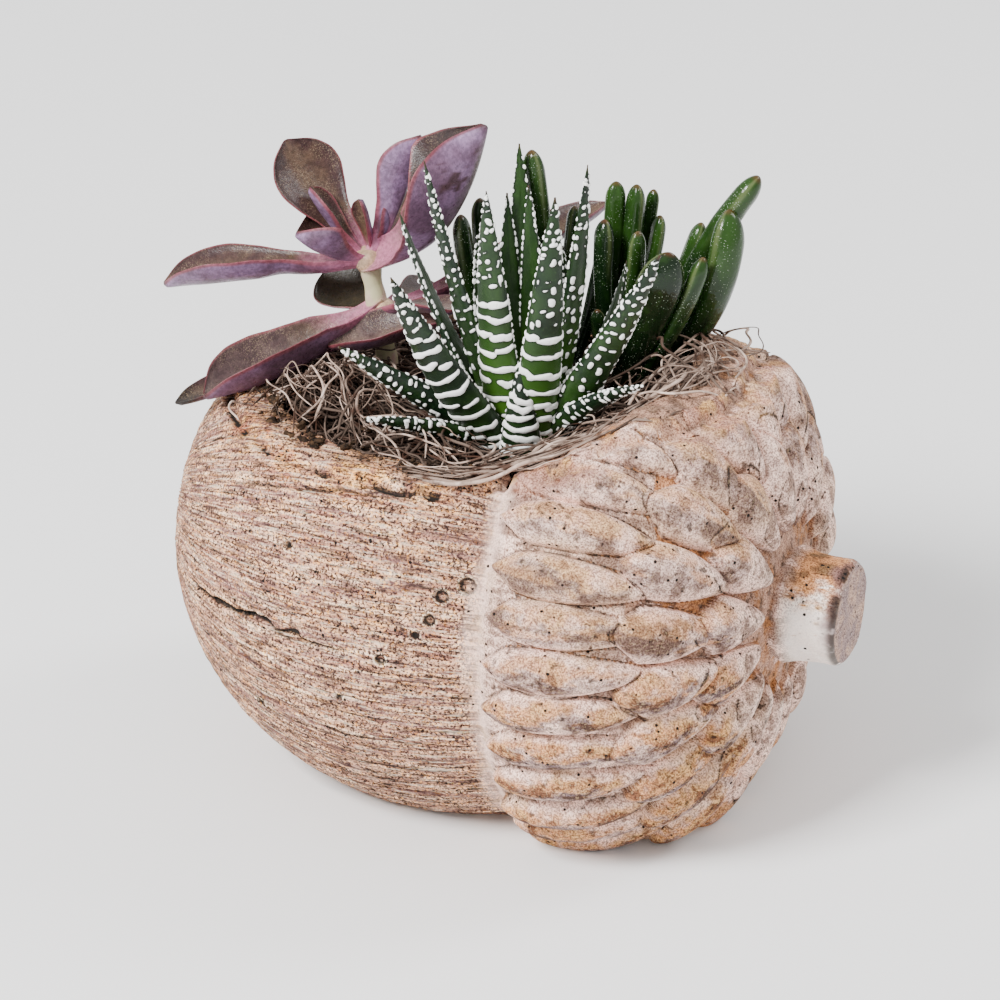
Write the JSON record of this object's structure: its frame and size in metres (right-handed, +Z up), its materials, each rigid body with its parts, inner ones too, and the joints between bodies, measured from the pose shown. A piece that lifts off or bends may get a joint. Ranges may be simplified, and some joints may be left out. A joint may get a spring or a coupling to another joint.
{
  "type": "succulents in an acorn planter",
  "caption": "Squat acorn-shaped concrete planter lying on its side, sliced open on top and planted with a stalked purple rosette, a spiky dotted rosette and finger-leaved shoots in moss.",
  "frame": {"origin": "on the flat that the planter stands on, below the acorn's axis, near the flat's centre", "axes": "+Z up, +X along the acorn from the nut's tip to the cut stem, -Y to the pictured side"},
  "size_m": [0.1994, 0.1524, 0.1838],
  "materials": {
    "concrete": "cast concrete, matt and brushed, with ochre and mauve patina",
    "soil": "dark crumbly potting soil, matt",
    "moss": "dry curly plant fibre, matt",
    "echeveria_stem": "pale smooth living stem, satin",
    "echeveria_leaf": "waxy living leaf, satin, olive-brown inside and lilac outside",
    "haworthia_leaf": "living leaf, satin dark green with raised white dots and bars",
    "crassula_leaf": "living leaf, glossy green with pale specks"
  },
  "bodies": {
    "root": {"planter": "concrete", "soil": "soil", "moss": "moss", "echeveria_stem": "echeveria_stem", "echeveria_rosette": "echeveria_leaf", "echeveria_lower_leaves": "echeveria_leaf", "haworthia_rosette": "haworthia_leaf", "crassula_shoot_1": "crassula_leaf", "crassula_shoot_2": "crassula_leaf", "crassula_shoot_3": "crassula_leaf", "crassula_shoot_4": "crassula_leaf", "crassula_shoot_5": "crassula_leaf"}
  },
  "joints": []
}
